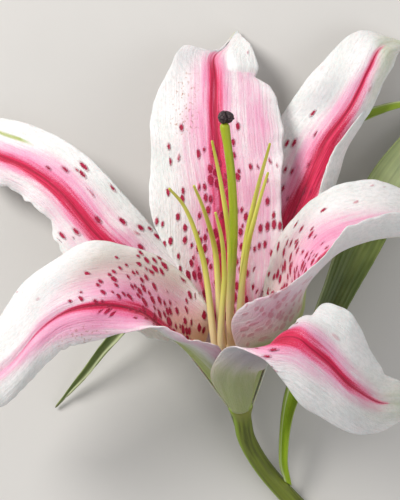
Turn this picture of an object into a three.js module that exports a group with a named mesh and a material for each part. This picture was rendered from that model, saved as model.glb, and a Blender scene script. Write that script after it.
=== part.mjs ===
// A cut lily, pink and white, lying on its back on a table: six tepals in two whorls, six bare
// filaments, the pistil, the stem with its swollen receptacle, a bract leaf and two narrow leaves.
// Millimetres, +Z up. The flower opens towards +Y and +Z, and the stem runs off towards -Y.
import * as THREE from "three";

// Driving dimensions.
const TEPAL_RIB = 1.1; // thickness along the middle
const TEPAL_MARGIN = 0.7; // thickness at the margins
const LEAF_RIB = 1.1;
const LEAF_MARGIN = 0.6;
const BASE_SHARE = 0.6; // how much of the thickness is left at a base
const BASE_GROWS_OVER = 0.12; // share of the length over which a base reaches its full thickness
const TIP_SHARE = 0.08; // how much of the last row's width is left at a tip
const TURN_AT = 0.6; // where a rolled margin turns over, as a share of the way from the midrib
const RECEPTACLE_RADIUS = 4.3;
const STALK_RADIUS = 3.1;
const STEM_RADIUS = 4;
const CUT_SLANT = 0.9; // how far the cut end leans back, as a share of the radius
const FILAMENT_FOOT = 0.5; // radius where it stands on the receptacle
const FILAMENT_MIDDLE = 1.2;
const FILAMENT_TIP = 0.4;
const STYLE_RADIUS = 1.4;
const OVARY_RADIUS = 2.6;
const STIGMA_RADIUS = 3.1;
const INNER_CLAW = [3.4, 10.4]; // distance of the inner whorl from the axis, at the base and higher up
const OUTER_CLAW = [4.6, 12.4];
const CLAW_HEIGHTS = [0.9, 20]; // where those distances are measured, along the axis
const CLAW_HALF_ANGLE = 40; // degrees that half a tepal takes there
const FILAMENT_RING = [2.2, 4.4]; // distance of the filaments from the axis, likewise
const FILAMENT_HEIGHTS = [0.4, 11];
const OVARY_SHARE = 0.25; // how much of the pistil is ovary
const STIGMA_CENTRE = [8, 43, 66];
const STIGMA_FLATNESS = 0.72; // its height over its width
const STIGMA_GROOVE = 0.14; // depth of the grooves between its lobes, as a share of the radius
const STIGMA_TILT = 0.25; // radians
const RECEPTACLE_SHARE = 0.03; // how much of the stem's length is swollen
const STALK_ENDS = [0.3, 0.55]; // shares of the stem's length between which it thickens

// How finely the solids are faceted.
const TEPAL_STEPS_ACROSS = 8;
const LEAF_STEPS_ACROSS = 6;
const STEPS_PER_ROW = 2;

// The flower's axis starts in the middle of the receptacle's top.
const receptacle = new THREE.Vector3(14, -54, 22);
const axis = new THREE.Vector3(-0.13, 0.84, 0.53).normalize();
const back = new THREE.Vector3(0, 0.53, -0.84).normalize();
const right = new THREE.Vector3().crossVectors(back, axis).normalize();

const vector = (p) => new THREE.Vector3(...p);
const mix = (a, b, t) => a + (b - a) * t;
const through = (points) => new THREE.CatmullRomCurve3(points, false, "centripetal");

// A place round the flower's axis: how far along it, how far out, and the turn from the back.
function aroundAxis(along, out, degrees) {
  const turn = THREE.MathUtils.degToRad(degrees);
  return receptacle
    .clone()
    .addScaledVector(axis, along)
    .addScaledVector(back, out * Math.cos(turn))
    .addScaledVector(right, out * Math.sin(turn));
}

// A tepal is a list of rows from its base to its tip. Each row holds three places: on the midrib,
// on the left margin and on the right margin. Where the right margin rolls over, a fourth place
// says how far out it turns. The first rows stand round the funnel.
function clawRows(claw, degrees) {
  return CLAW_HEIGHTS.map((along, i) => [
    aroundAxis(along, claw[i], degrees),
    aroundAxis(along, claw[i], degrees - CLAW_HALF_ANGLE),
    aroundAxis(along, claw[i], degrees + CLAW_HALF_ANGLE),
  ]);
}

function bladeRows(rows) {
  return rows.map((row) => row.map(vector));
}

function acrossRow([rib, left, right], u) {
  const half = right.clone().sub(left).multiplyScalar(0.5);
  const crown = right.clone().add(left).multiplyScalar(0.5).sub(rib);
  return rib.clone().addScaledVector(half, u).addScaledVector(crown, u * u);
}

// How far a row's rolled margin stands off the parabola through its three other places.
function turnOf(row) {
  return row.length > 3 ? row[3].clone().sub(acrossRow(row, TURN_AT)) : new THREE.Vector3();
}

function tipRow(last, tip) {
  const [rib, left, right] = last;
  const shrink = (p) => tip.clone().addScaledVector(p.clone().sub(rib), TIP_SHARE);
  return [tip.clone(), shrink(left), shrink(right)];
}

function tepalRows(claw, degrees, blade, tip) {
  const rows = [...clawRows(claw, degrees), ...bladeRows(blade)];
  rows.push(tipRow(rows[rows.length - 1], vector(tip)));
  return rows;
}

// The middle surface through the rows: smooth along the rails, and a parabola across, which bulges
// out to the turn of a rolled margin.
function surfaceOf(rows) {
  const rail = (places) => new THREE.CatmullRomCurve3(places, false, "catmullrom", 0.5);
  const rails = [0, 1, 2].map((side) => rail(rows.map((row) => row[side])));
  const turns = rail(rows.map(turnOf));
  const bulge = (u) => (u > 0 ? u * u * (1 - u) : 0);
  return (u, v) => {
    const place = acrossRow(rails.map((curve) => curve.getPoint(v)), u);
    return place.addScaledVector(turns.getPoint(v), bulge(u) / bulge(TURN_AT));
  };
}

// A thin closed solid round a middle surface.
function sheet(surface, across, along, ribThickness, marginThickness) {
  const step = 1e-3;
  const position = [];
  const index = [];
  for (const face of [1, -1])
    for (let j = 0; j <= along; j++)
      for (let i = 0; i <= across; i++) {
        const u = (2 * i) / across - 1;
        const v = j / along;
        const over = surface(Math.min(u + step, 1), v).sub(surface(Math.max(u - step, -1), v));
        const up = surface(u, Math.min(v + step, 1)).sub(surface(u, Math.max(v - step, 0)));
        const normal = over.cross(up).normalize();
        const growth = mix(BASE_SHARE, 1, Math.min(1, v / BASE_GROWS_OVER));
        const thickness = growth * mix(ribThickness, marginThickness, u * u);
        const p = surface(u, v).addScaledVector(normal, (face * thickness) / 2);
        position.push(p.x, p.y, p.z);
      }
  const row = across + 1;
  const layer = row * (along + 1);
  const quad = (a, b, c, d) => index.push(a, b, c, a, c, d);
  for (let j = 0; j < along; j++)
    for (let i = 0; i < across; i++) {
      const a = j * row + i;
      quad(a, a + 1, a + row + 1, a + row);
      quad(layer + a, layer + a + row, layer + a + row + 1, layer + a + 1);
    }
  for (let j = 0; j < along; j++)
    for (const [i, turned] of [[0, true], [across, false]]) {
      const a = j * row + i;
      if (turned) quad(a, a + row, layer + a + row, layer + a);
      else quad(a, layer + a, layer + a + row, a + row);
    }
  for (let i = 0; i < across; i++)
    for (const [j, turned] of [[0, false], [along, true]]) {
      const a = j * row + i;
      if (turned) quad(a, a + 1, layer + a + 1, layer + a);
      else quad(a, layer + a, layer + a + 1, a + 1);
    }
  const geometry = new THREE.BufferGeometry();
  geometry.setAttribute("position", new THREE.Float32BufferAttribute(position, 3));
  geometry.setIndex(index);
  geometry.computeVertexNormals();
  return geometry;
}

// A closed round rod along a curve, whose radius follows its length.
function rod(curve, radiusAt, sides, steps) {
  const frames = curve.computeFrenetFrames(steps, false);
  const position = [];
  const index = [];
  for (let j = 0; j <= steps; j++) {
    const t = j / steps;
    const centre = curve.getPointAt(t);
    const r = radiusAt(t);
    for (let i = 0; i < sides; i++) {
      const turn = (2 * Math.PI * i) / sides;
      const p = centre
        .clone()
        .addScaledVector(frames.normals[j], r * Math.cos(turn))
        .addScaledVector(frames.binormals[j], r * Math.sin(turn));
      position.push(p.x, p.y, p.z);
    }
  }
  for (const t of [0, 1]) {
    const p = curve.getPointAt(t);
    position.push(p.x, p.y, p.z);
  }
  const first = sides * (steps + 1);
  for (let i = 0; i < sides; i++) {
    const next = (i + 1) % sides;
    for (let j = 0; j < steps; j++) {
      const a = j * sides + i;
      const b = j * sides + next;
      index.push(a, b, b + sides, a, b + sides, a + sides);
    }
    index.push(first, next, i);
    index.push(first + 1, steps * sides + i, steps * sides + next);
  }
  const geometry = new THREE.BufferGeometry();
  geometry.setAttribute("position", new THREE.Float32BufferAttribute(position, 3));
  geometry.setIndex(index);
  geometry.computeVertexNormals();
  return geometry;
}

const flower = new THREE.Group();

function add(name, geometry, colour, roughness) {
  const material = new THREE.MeshStandardMaterial({ color: colour, roughness, metalness: 0 });
  const mesh = new THREE.Mesh(geometry, material);
  mesh.name = name;
  flower.add(mesh);
}

// Tepals. Each row of a blade is [midrib, left margin, right margin] as seen from above, base first.
const TEPALS = {
  inner_tepal_back: {
    claw: INNER_CLAW,
    degrees: 0,
    blade: [
      [[9, -15, 27], [-1, -18, 33], [21, -14, 34]],
      [[8, -4, 28], [-8, -6, 33], [28, -2, 34]],
      [[8, 17, 30], [-17, 12, 31], [28, 20, 31]],
      [[6, 34, 29], [-17, 34, 28], [29, 36, 28]],
      [[5, 48, 26], [-17, 48, 24], [28, 49, 23]],
      [[5, 60, 21], [-12, 60, 20], [22, 60, 18]],
      [[5, 67, 14], [-6, 71, 14], [19, 69, 11]],
      [[9, 71, 9], [6, 69, 12], [16, 74, 7]],
    ],
    tip: [13, 77, 2],
  },
  outer_tepal_back_right: {
    claw: OUTER_CLAW,
    degrees: 60,
    blade: [
      [[27, -16, 30], [17, -18, 23], [32, -21, 36]],
      [[28, 0, 26], [19, 1, 20], [35, -2, 33]],
      [[35, 19, 22], [25, 22, 18], [40, 20, 32], [45, 21, 25]],
      [[42.5, 36, 22], [26, 41, 17], [45, 34, 29], [50, 35, 21]],
      [[51.5, 49, 22], [32, 53, 16], [57, 49, 20], [58.5, 48.5, 17]],
      [[58, 62, 19], [41, 64, 14], [66, 62, 12]],
      [[63, 70.5, 13], [55, 76.6, 8], [69, 68, 8]],
    ],
    tip: [72, 73, 2],
  },
  outer_tepal_back_left: {
    claw: OUTER_CLAW,
    degrees: -60,
    blade: [
      [[-8, -20, 30], [-8, -32, 36], [1, -13, 23]],
      [[-20, -9, 28], [-21, -28, 37], [-11, 2, 23]],
      [[-35, 5, 27], [-48, -1, 25], [-22, 15, 24]],
      [[-48, 20, 24], [-54, 12, 20], [-38, 32, 22]],
      [[-59, 28, 20], [-64, 19, 16], [-54, 42, 17]],
      [[-70, 33, 14], [-74, 24, 11], [-68, 46, 11]],
      [[-78, 38, 8], [-80, 31, 6], [-76, 46, 6]],
    ],
    tip: [-84, 42, 2],
  },
  inner_tepal_left: {
    claw: INNER_CLAW,
    degrees: -120,
    blade: [
      [[-6, -31, 46], [7, -32, 57], [4, -22, 43]],
      [[-13, -25, 53], [-3, -29, 62], [-3, -10, 46]],
      [[-20, -20, 58], [-13, -25, 64], [-13, -2, 50]],
      [[-31, -18, 62], [-33, -30, 60], [-25, 2, 54]],
      [[-43, -20, 63], [-44, -32, 58], [-37, 3, 56]],
      [[-52, -26, 61], [-52, -40, 55], [-50, -4, 55]],
      [[-62, -37, 56], [-64, -51, 50], [-62, -15, 51]],
      [[-74, -46, 49], [-73, -54, 46], [-72, -32, 47]],
    ],
    tip: [-82, -53, 43],
  },
  inner_tepal_right: {
    claw: INNER_CLAW,
    degrees: 120,
    blade: [
      [[21, -32, 48], [21, -17, 41], [10, -25, 58]],
      [[29, -28, 53], [21, -12, 42], [13, -18, 67]],
      [[33, -20, 57], [23, -4, 42], [19, -15, 72]],
      [[34, -12, 58], [26, 4, 42], [27, -12, 76]],
      [[37, -6, 57], [31, 11, 42], [36, -5, 76]],
      [[43, 0, 57], [37, 17, 42], [42, 2, 76]],
      [[51, 3, 56], [46, 22, 42], [48, 8, 72]],
      [[61, 5, 53], [58, 24, 40], [59, 12, 66]],
      [[71, 5, 47], [68, 21, 36], [69, 13, 57]],
      [[81, 3, 38], [79, 15, 30], [79, 10, 44]],
    ],
    tip: [89, 6, 28],
  },
  outer_tepal_front: {
    claw: OUTER_CLAW,
    degrees: 180,
    blade: [
      [[13, -38, 57], [22, -39, 49], [6, -34, 62]],
      [[18, -34, 65], [23, -35, 56], [10, -31, 70]],
      [[22, -31, 72], [24, -31, 62], [16, -33, 76]],
      [[26, -28, 77], [27, -28, 67], [22, -37, 77]],
      [[31, -28, 80], [30, -25, 69], [27, -43, 75]],
      [[35, -31, 80], [34, -20, 71], [32, -50, 72]],
      [[41, -36, 77], [42, -16, 70], [40, -55, 68]],
      [[48, -43, 73], [53, -26, 68], [50, -60, 64]],
      [[57, -49, 66], [60, -39, 62], [58, -60, 59]],
      [[64, -50, 60], [65, -43, 57], [65, -57, 56]],
    ],
    tip: [72, -51, 52],
  },
};
for (const [name, tepal] of Object.entries(TEPALS)) {
  const rows = tepalRows(tepal.claw, tepal.degrees, tepal.blade, tepal.tip);
  const steps = STEPS_PER_ROW * rows.length;
  const geometry = sheet(surfaceOf(rows), TEPAL_STEPS_ACROSS, steps, TEPAL_RIB, TEPAL_MARGIN);
  add(name, geometry, "#e9b3c4", 0.55);
}

// Six bare filaments, each from its own place on the receptacle to a pointed tip.
const FILAMENTS = [
  { degrees: -90, path: [[5, -32, 42], [1, -3, 50], [-5, 14, 57]], tip: [-10, 20, 62] },
  { degrees: -30, path: [[7, -25, 38], [5, 0, 42], [1, 14, 52]], tip: [-2, 21, 58] },
  { degrees: 30, path: [[10.5, -23, 37], [10, 2, 41], [7, 22, 45]], tip: [4, 36, 50] },
  { degrees: -150, path: [[7, -31, 46], [8, -8, 57], [7, 4, 64]], tip: [5, 12, 70] },
  { degrees: 90, path: [[14, -23, 38], [15, 0, 44], [18, 16, 49]], tip: [23, 35, 54] },
  { degrees: 150, path: [[13, -27, 45], [15, -3, 52], [18, 11, 60]], tip: [22, 25, 66] },
];
FILAMENTS.forEach(({ degrees, path, tip }, i) => {
  const feet = FILAMENT_HEIGHTS.map((along, i) => aroundAxis(along, FILAMENT_RING[i], degrees));
  const curve = through([...feet, ...path.map(vector), vector(tip)]);
  const radius = (t) => {
    const foot = Math.min(1, t / BASE_GROWS_OVER);
    const beyond = Math.max(0, (t - BASE_GROWS_OVER) / (1 - BASE_GROWS_OVER));
    return mix(FILAMENT_FOOT, FILAMENT_MIDDLE, foot) + (FILAMENT_TIP - FILAMENT_MIDDLE) * beyond ** 2;
  };
  add(`filament_${i + 1}`, rod(curve, radius, 6, 16), "#d2c07c", 0.5);
});

// The pistil: a ribbed ovary deep in the funnel and a long style that bends up at its end.
const styleCurve = through([
  aroundAxis(0.4, 0, 0),
  aroundAxis(26, 0, 0),
  vector([10, -19, 46]),
  vector([11, 8, 57]),
  vector([10, 26, 62]),
  vector([8, 40, 65.4]),
]);
const pistilRadius = (t) => {
  if (t >= OVARY_SHARE) return STYLE_RADIUS;
  const bulge = Math.sin((Math.PI * t) / OVARY_SHARE);
  return mix(STYLE_RADIUS, OVARY_RADIUS, Math.sqrt(bulge));
};
add("pistil", rod(styleCurve, pistilRadius, 10, 36), "#8c9c1c", 0.45);

const stigma = new THREE.SphereGeometry(STIGMA_RADIUS, 18, 10);
const lobes = stigma.attributes.position;
for (let i = 0; i < lobes.count; i++) {
  const turn = Math.atan2(lobes.getZ(i), lobes.getX(i));
  const lobe = 1 - STIGMA_GROOVE + STIGMA_GROOVE * Math.cos(3 * turn);
  lobes.setXYZ(i, lobes.getX(i) * lobe, lobes.getY(i) * STIGMA_FLATNESS, lobes.getZ(i) * lobe);
}
stigma.rotateX(STIGMA_TILT);
stigma.translate(...STIGMA_CENTRE);
add("stigma", stigma, "#2c1b20", 0.6);

// The stem: swollen receptacle, thin stalk bending down to the table, thicker stem, slanted cut.
const stemCurve = through([
  receptacle.clone(),
  aroundAxis(-6, 0, 0),
  vector([16, -65, 14.5]),
  vector([19.5, -72, 9.6]),
  vector([24, -78.5, 6]),
  vector([30.5, -86, 4.2]),
  vector([40, -96, 4.1]),
  vector([66, -124, 4.4]),
  vector([96, -160, 4.4]),
]);
const stemRadius = (t) => {
  const swelling = Math.max(0, 1 - t / RECEPTACLE_SHARE);
  const girth = mix(STALK_RADIUS, STEM_RADIUS, THREE.MathUtils.smoothstep(t, ...STALK_ENDS));
  return girth + (RECEPTACLE_RADIUS - STALK_RADIUS) * swelling ** 1.3;
};
const stem = rod(stemCurve, stemRadius, 12, 44);

// The cut leans back: the last ring's places slide along the stem by how far they lie to one side.
const stemEnd = stemCurve.getPointAt(1);
const stemEndRun = stemCurve.getTangentAt(1);
const stemEndSide = new THREE.Vector3(stemEndRun.y, -stemEndRun.x, 0).normalize();
const stemPlaces = stem.attributes.position;
for (let i = 0; i < stemPlaces.count; i++) {
  const place = new THREE.Vector3().fromBufferAttribute(stemPlaces, i);
  const away = place.clone().sub(stemEnd);
  if (Math.abs(away.dot(stemEndRun)) > 0.01 || away.length() > 2 * STEM_RADIUS) continue;
  place.addScaledVector(stemEndRun, CUT_SLANT * away.dot(stemEndSide));
  stemPlaces.setXYZ(i, place.x, place.y, place.z);
}
stem.computeVertexNormals();
add("stem", stem, "#66801e", 0.5);

// Leaves. Rows as for the tepals; the first row lies against the stem, which the leaf clasps.
const LEAVES = {
  bract_leaf: {
    rows: [
      [[30.9, -81.7, 6.8], [29.3, -80.7, 7.5], [32.3, -82.7, 5.8]],
      [[28.8, -72, 11.6], [27.4, -72, 13.4], [30.6, -72, 13.2]],
      [[30.5, -54, 15], [28.8, -51, 17.5], [33.4, -54.5, 17]],
      [[39, -34, 16], [35, -32.5, 17.5], [43, -36.5, 17.5]],
      [[46, -17, 15.5], [41.5, -15, 17], [51.5, -20, 16]],
      [[55, 2, 14], [48.5, 5, 15], [62.5, -1, 14]],
      [[65, 20, 11], [58, 25, 12], [71, 15, 11]],
      [[75, 34, 7.5], [70, 40, 8.5], [80, 28, 7.5]],
      [[86, 46, 4], [82, 50, 5], [89, 42, 4]],
    ],
    tip: [95, 54, 1.2],
  },
  narrow_leaf_left: {
    rows: [
      [[13.8, -62.6, 12], [12.7, -63.4, 13], [15.2, -62.2, 11.7]],
      [[8, -43, 13.5], [5.5, -43.5, 14.6], [10, -42, 14.6]],
      [[1, -30, 14], [-1.6, -31.5, 15], [3, -28.5, 15]],
      [[-9, -20, 14.5], [-10.5, -22, 15.2], [-8, -17.6, 15.2]],
      [[-20, -21, 14], [-19.4, -23.4, 14.4], [-21, -18.6, 14.4]],
      [[-31, -31.5, 11], [-29.6, -33, 11.6], [-32.6, -30.2, 11.6]],
      [[-41, -44, 6], [-40, -44.8, 6.5], [-42, -43.2, 6.5]],
    ],
    tip: [-51, -55.5, 1.4],
  },
  narrow_leaf_right: {
    rows: [
      [[17.4, -65.2, 9.5], [16.2, -65.5, 9.6], [18.6, -65.4, 9.9]],
      [[16.2, -52, 9.2], [14.6, -52, 9.8], [17.8, -52, 9.8]],
      [[18, -38, 9.5], [15.4, -38, 10.4], [20.6, -38, 10.4]],
      [[22, -14, 9], [19, -13, 10], [25, -15, 10]],
      [[29, 12, 9.5], [26, 13.6, 10.4], [32, 10.6, 10.4]],
      [[38, 34, 10], [35.8, 36.2, 10.6], [40.6, 32.2, 10.8]],
      [[48, 43, 10.3], [46.6, 45.4, 10.8], [49.6, 40.8, 11]],
      [[59, 47.6, 10.6], [58.4, 49.4, 11], [59.6, 45.8, 11.2]],
      [[69, 50.6, 11], [69, 51.8, 11.2], [69.4, 49.5, 11.4]],
    ],
    tip: [79, 51, 12],
  },
};
for (const [name, leaf] of Object.entries(LEAVES)) {
  const rows = bladeRows(leaf.rows);
  rows.push(tipRow(rows[rows.length - 1], vector(leaf.tip)));
  const steps = STEPS_PER_ROW * rows.length;
  const geometry = sheet(surfaceOf(rows), LEAF_STEPS_ACROSS, steps, LEAF_RIB, LEAF_MARGIN);
  add(name, geometry, "#5f7f22", 0.5);
}

// The part's frame: the middle of its footprint, on the table.
const bounds = new THREE.Box3().setFromObject(flower);
const middle = bounds.getCenter(new THREE.Vector3());
flower.position.set(-middle.x, -middle.y, -bounds.min.z);

const part = new THREE.Group();
part.add(flower);

export default part;
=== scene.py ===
"""A cut lily lying on its back: the visual model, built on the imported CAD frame."""

import math
import random

import bpy
import numpy as np
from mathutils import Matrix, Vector


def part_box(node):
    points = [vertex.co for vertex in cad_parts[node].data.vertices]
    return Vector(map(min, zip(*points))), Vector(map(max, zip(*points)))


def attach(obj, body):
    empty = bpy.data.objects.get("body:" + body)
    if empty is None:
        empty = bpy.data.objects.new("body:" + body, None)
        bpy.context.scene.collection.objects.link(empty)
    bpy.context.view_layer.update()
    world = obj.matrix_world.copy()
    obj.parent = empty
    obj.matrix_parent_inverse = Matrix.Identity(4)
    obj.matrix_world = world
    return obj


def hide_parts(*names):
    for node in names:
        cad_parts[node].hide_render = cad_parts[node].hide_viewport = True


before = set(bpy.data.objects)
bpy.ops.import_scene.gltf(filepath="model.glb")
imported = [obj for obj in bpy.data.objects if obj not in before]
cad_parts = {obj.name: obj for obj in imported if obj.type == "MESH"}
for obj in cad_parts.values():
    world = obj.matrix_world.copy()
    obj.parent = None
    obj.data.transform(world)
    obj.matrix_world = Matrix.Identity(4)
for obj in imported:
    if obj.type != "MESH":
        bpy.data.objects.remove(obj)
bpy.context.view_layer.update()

# ---------------- the flower's own measures, mm
MM = 0.001
CAD_THICKNESS = (1.1, 0.7)  # of a tepal in CAD, along the rib and at the margins
TEPAL_THICKNESS = (1.1, 0.55)
LEAF_THICKNESS = (1.1, 0.5)
TEPAL_GROOVE = 0.55
LEAF_GROOVE = 0.3
BASE_SHARE = 0.6  # how much of the thickness is left at a base
BASE_GROWS_OVER = 0.12  # share of the length over which a base reaches its full thickness
TURN_AT = 0.6  # where a rolled margin turns over, as a share of the way from the midrib
TIP_SHARE = 0.08  # how much of the last row's width is left at a tip
INNER_CLAW = (3.4, 10.4)  # distance of the inner whorl from the axis, at the base and higher up
OUTER_CLAW = (4.6, 12.4)
CLAW_HEIGHTS = (0.9, 20.0)
CLAW_HALF_ANGLE = 40.0
RECEPTACLE = np.array([14.0, -54.0, 22.0])


def unit(v):
    return np.asarray(v, float) / np.linalg.norm(v)


AXIS = unit([-0.13, 0.84, 0.53])
BACK = unit([0.0, 0.53, -0.84])
RIGHT = unit(np.cross(BACK, AXIS))

# Blades as rows from the base to the tip: midrib, left margin, right margin and, where the right
# margin rolls over, its turn.
TEPALS = {}
TEPALS["inner_tepal_back"] = dict(
    claw=INNER_CLAW,
    degrees=0,
    blade=[
        [[9, -15, 27], [-1, -18, 33], [21, -14, 34]],
        [[8, -4, 28], [-8, -6, 33], [28, -2, 34]],
        [[8, 17, 30], [-17, 12, 31], [28, 20, 31]],
        [[6, 34, 29], [-17, 34, 28], [29, 36, 28]],
        [[5, 48, 26], [-17, 48, 24], [28, 49, 23]],
        [[5, 60, 21], [-12, 60, 20], [22, 60, 18]],
        [[5, 67, 14], [-6, 71, 14], [19, 69, 11]],
        [[9, 71, 9], [6, 69, 12], [16, 74, 7]],
    ],
    tip=[13, 77, 2],
)
TEPALS["outer_tepal_back_right"] = dict(
    claw=OUTER_CLAW,
    degrees=60,
    blade=[
        [[27, -16, 30], [17, -18, 23], [32, -21, 36]],
        [[28, 0, 26], [19, 1, 20], [35, -2, 33]],
        [[35, 19, 22], [25, 22, 18], [40, 20, 32], [45, 21, 25]],
        [[42.5, 36, 22], [26, 41, 17], [45, 34, 29], [50, 35, 21]],
        [[51.5, 49, 22], [32, 53, 16], [57, 49, 20], [58.5, 48.5, 17]],
        [[58, 62, 19], [41, 64, 14], [66, 62, 12]],
        [[63, 70.5, 13], [55, 76.6, 8], [69, 68, 8]],
    ],
    tip=[72, 73, 2],
)
TEPALS["outer_tepal_back_left"] = dict(
    claw=OUTER_CLAW,
    degrees=-60,
    blade=[
        [[-8, -20, 30], [-8, -32, 36], [1, -13, 23]],
        [[-20, -9, 28], [-21, -28, 37], [-11, 2, 23]],
        [[-35, 5, 27], [-48, -1, 25], [-22, 15, 24]],
        [[-48, 20, 24], [-54, 12, 20], [-38, 32, 22]],
        [[-59, 28, 20], [-64, 19, 16], [-54, 42, 17]],
        [[-70, 33, 14], [-74, 24, 11], [-68, 46, 11]],
        [[-78, 38, 8], [-80, 31, 6], [-76, 46, 6]],
    ],
    tip=[-84, 42, 2],
)
TEPALS["inner_tepal_left"] = dict(
    claw=INNER_CLAW,
    degrees=-120,
    blade=[
        [[-6, -31, 46], [7, -32, 57], [4, -22, 43]],
        [[-13, -25, 53], [-3, -29, 62], [-3, -10, 46]],
        [[-20, -20, 58], [-13, -25, 64], [-13, -2, 50]],
        [[-31, -18, 62], [-33, -30, 60], [-25, 2, 54]],
        [[-43, -20, 63], [-44, -32, 58], [-37, 3, 56]],
        [[-52, -26, 61], [-52, -40, 55], [-50, -4, 55]],
        [[-62, -37, 56], [-64, -51, 50], [-62, -15, 51]],
        [[-74, -46, 49], [-73, -54, 46], [-72, -32, 47]],
    ],
    tip=[-82, -53, 43],
)
TEPALS["inner_tepal_right"] = dict(
    claw=INNER_CLAW,
    degrees=120,
    blade=[
        [[21, -32, 48], [21, -17, 41], [10, -25, 58]],
        [[29, -28, 53], [21, -12, 42], [13, -18, 67]],
        [[33, -20, 57], [23, -4, 42], [19, -15, 72]],
        [[34, -12, 58], [26, 4, 42], [27, -12, 76]],
        [[37, -6, 57], [31, 11, 42], [36, -5, 76]],
        [[43, 0, 57], [37, 17, 42], [42, 2, 76]],
        [[51, 3, 56], [46, 22, 42], [48, 8, 72]],
        [[61, 5, 53], [58, 24, 40], [59, 12, 66]],
        [[71, 5, 47], [68, 21, 36], [69, 13, 57]],
        [[81, 3, 38], [79, 15, 30], [79, 10, 44]],
    ],
    tip=[89, 6, 28],
)
TEPALS["outer_tepal_front"] = dict(
    claw=OUTER_CLAW,
    degrees=180,
    blade=[
        [[13, -38, 57], [22, -39, 49], [6, -34, 62]],
        [[18, -34, 65], [23, -35, 56], [10, -31, 70]],
        [[22, -31, 72], [24, -31, 62], [16, -33, 76]],
        [[26, -28, 77], [27, -28, 67], [22, -37, 77]],
        [[31, -28, 80], [30, -25, 69], [27, -43, 75]],
        [[35, -31, 80], [34, -20, 71], [32, -50, 72]],
        [[41, -36, 77], [42, -16, 70], [40, -55, 68]],
        [[48, -43, 73], [53, -26, 68], [50, -60, 64]],
        [[57, -49, 66], [60, -39, 62], [58, -60, 59]],
        [[64, -50, 60], [65, -43, 57], [65, -57, 56]],
    ],
    tip=[72, -51, 52],
)


# ---------------- shapes
def around_axis(along, out, degrees):
    turn = math.radians(degrees)
    return RECEPTACLE + along * AXIS + out * (math.cos(turn) * BACK + math.sin(turn) * RIGHT)


def across_row(row, u):
    """Places at u, from -1 to 1 across, on an arch through a row's margins and its rib."""
    rib, left, right = row[:3]
    u = np.asarray(u, float)[..., None]
    return rib + (right - left) / 2 * u + ((right + left) / 2 - rib) * u * u


def catmull_rom(points, t):
    """Places at t, from 0 to 1 over the points, on a smooth curve through them all."""
    points = np.asarray(points, float)
    ends = (2 * points[0] - points[1], 2 * points[-1] - points[-2])
    p = np.vstack([ends[0][None], points, ends[1][None]])
    at = np.clip(np.asarray(t, float), 0, 1) * (len(points) - 1)
    i = np.minimum(at.astype(int), len(points) - 2)
    s = (at - i)[:, None]
    a, b, c, d = p[i], p[i + 1], p[i + 2], p[i + 3]
    return 0.5 * (
        2 * b + (c - a) * s + (2 * a - 5 * b + 4 * c - d) * s**2 + (3 * b - a - 3 * c + d) * s**3
    )


def rows_of(blade, tip, claw=(), degrees=0):
    """All rows of a blade: its claw, which wraps round the axis, then the blade and its tip."""
    rows = []
    for along, out in zip(CLAW_HEIGHTS, claw):
        turns = (degrees, degrees - CLAW_HALF_ANGLE, degrees + CLAW_HALF_ANGLE)
        rows.append([around_axis(along, out, turn) for turn in turns])
    rows += [[np.array(p, float) for p in row] for row in blade]
    tip = np.array(tip, float)
    rib, left, right = rows[-1][:3]
    rows.append([tip, tip + TIP_SHARE * (left - rib), tip + TIP_SHARE * (right - rib)])
    return rows


def surface_of(rows):
    """The middle surface through the rows, as a function of u (-1 to 1 across) and v (0 to 1)."""
    rails = [np.array([row[side] for row in rows]) for side in range(3)]
    turns = np.array(
        [row[3] - across_row(row, TURN_AT) if len(row) > 3 else np.zeros(3) for row in rows]
    )
    bulge_at_turn = TURN_AT**2 * (1 - TURN_AT)

    def surface(u, v):
        place = across_row([catmull_rom(rail, v) for rail in rails], u)
        bulge = np.where(u > 0, u * u * (1 - u), 0) / bulge_at_turn
        return place + catmull_rom(turns, v) * bulge[:, None]

    return surface


def grid(across, along):
    v, u = np.meshgrid(np.linspace(0, 1, along + 1), np.linspace(-1, 1, across + 1), indexing="ij")
    return u.ravel(), v.ravel()


def normals_of(points, across, along):
    p = points.reshape(along + 1, across + 1, 3)
    normal = np.cross(np.gradient(p, axis=1), np.gradient(p, axis=0))
    return (normal / (np.linalg.norm(normal, axis=2, keepdims=True) + 1e-12)).reshape(-1, 3)


def sheet_faces(across, along):
    """Quads of a closed thin sheet: its inner face, its outer face and its edge."""
    row = across + 1
    layer = row * (along + 1)
    a = (np.arange(along)[:, None] * row + np.arange(across)[None]).ravel()
    inner = np.stack([a, a + 1, a + row + 1, a + row], 1)
    outer = layer + inner[:, ::-1]
    left = np.arange(along) * row
    right = left + across
    first = np.arange(across)
    last = first + along * row
    edge = np.concatenate(
        [
            np.stack([left, left + row, layer + left + row, layer + left], 1),
            np.stack([right, layer + right, layer + right + row, right + row], 1),
            np.stack([first, layer + first, layer + first + 1, first + 1], 1),
            np.stack([last, last + 1, layer + last + 1, layer + last], 1),
        ]
    )
    return np.concatenate([inner, outer, edge])


def grown(v):
    """How much of its thickness a blade has at a share of its length."""
    return BASE_SHARE + (1 - BASE_SHARE) * np.minimum(1, v / BASE_GROWS_OVER)


def smooth(low, high, x):
    t = np.clip((x - low) / (high - low), 0, 1)
    return t * t * (3 - 2 * t)


def lengths_along(points, across, along):
    """For each grid place, mm from the base along the blade and mm out from the midrib."""
    p = points.reshape(along + 1, across + 1, 3)
    rib = p[:, across // 2]
    run = np.concatenate([[0], np.cumsum(np.linalg.norm(np.diff(rib, axis=0), axis=1))])
    step = np.linalg.norm(np.diff(p, axis=1), axis=2)
    out = np.concatenate([np.zeros((along + 1, 1)), np.cumsum(step, axis=1)], axis=1)
    out -= out[:, across // 2][:, None]
    return np.repeat(run, across + 1), out.ravel()


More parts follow.
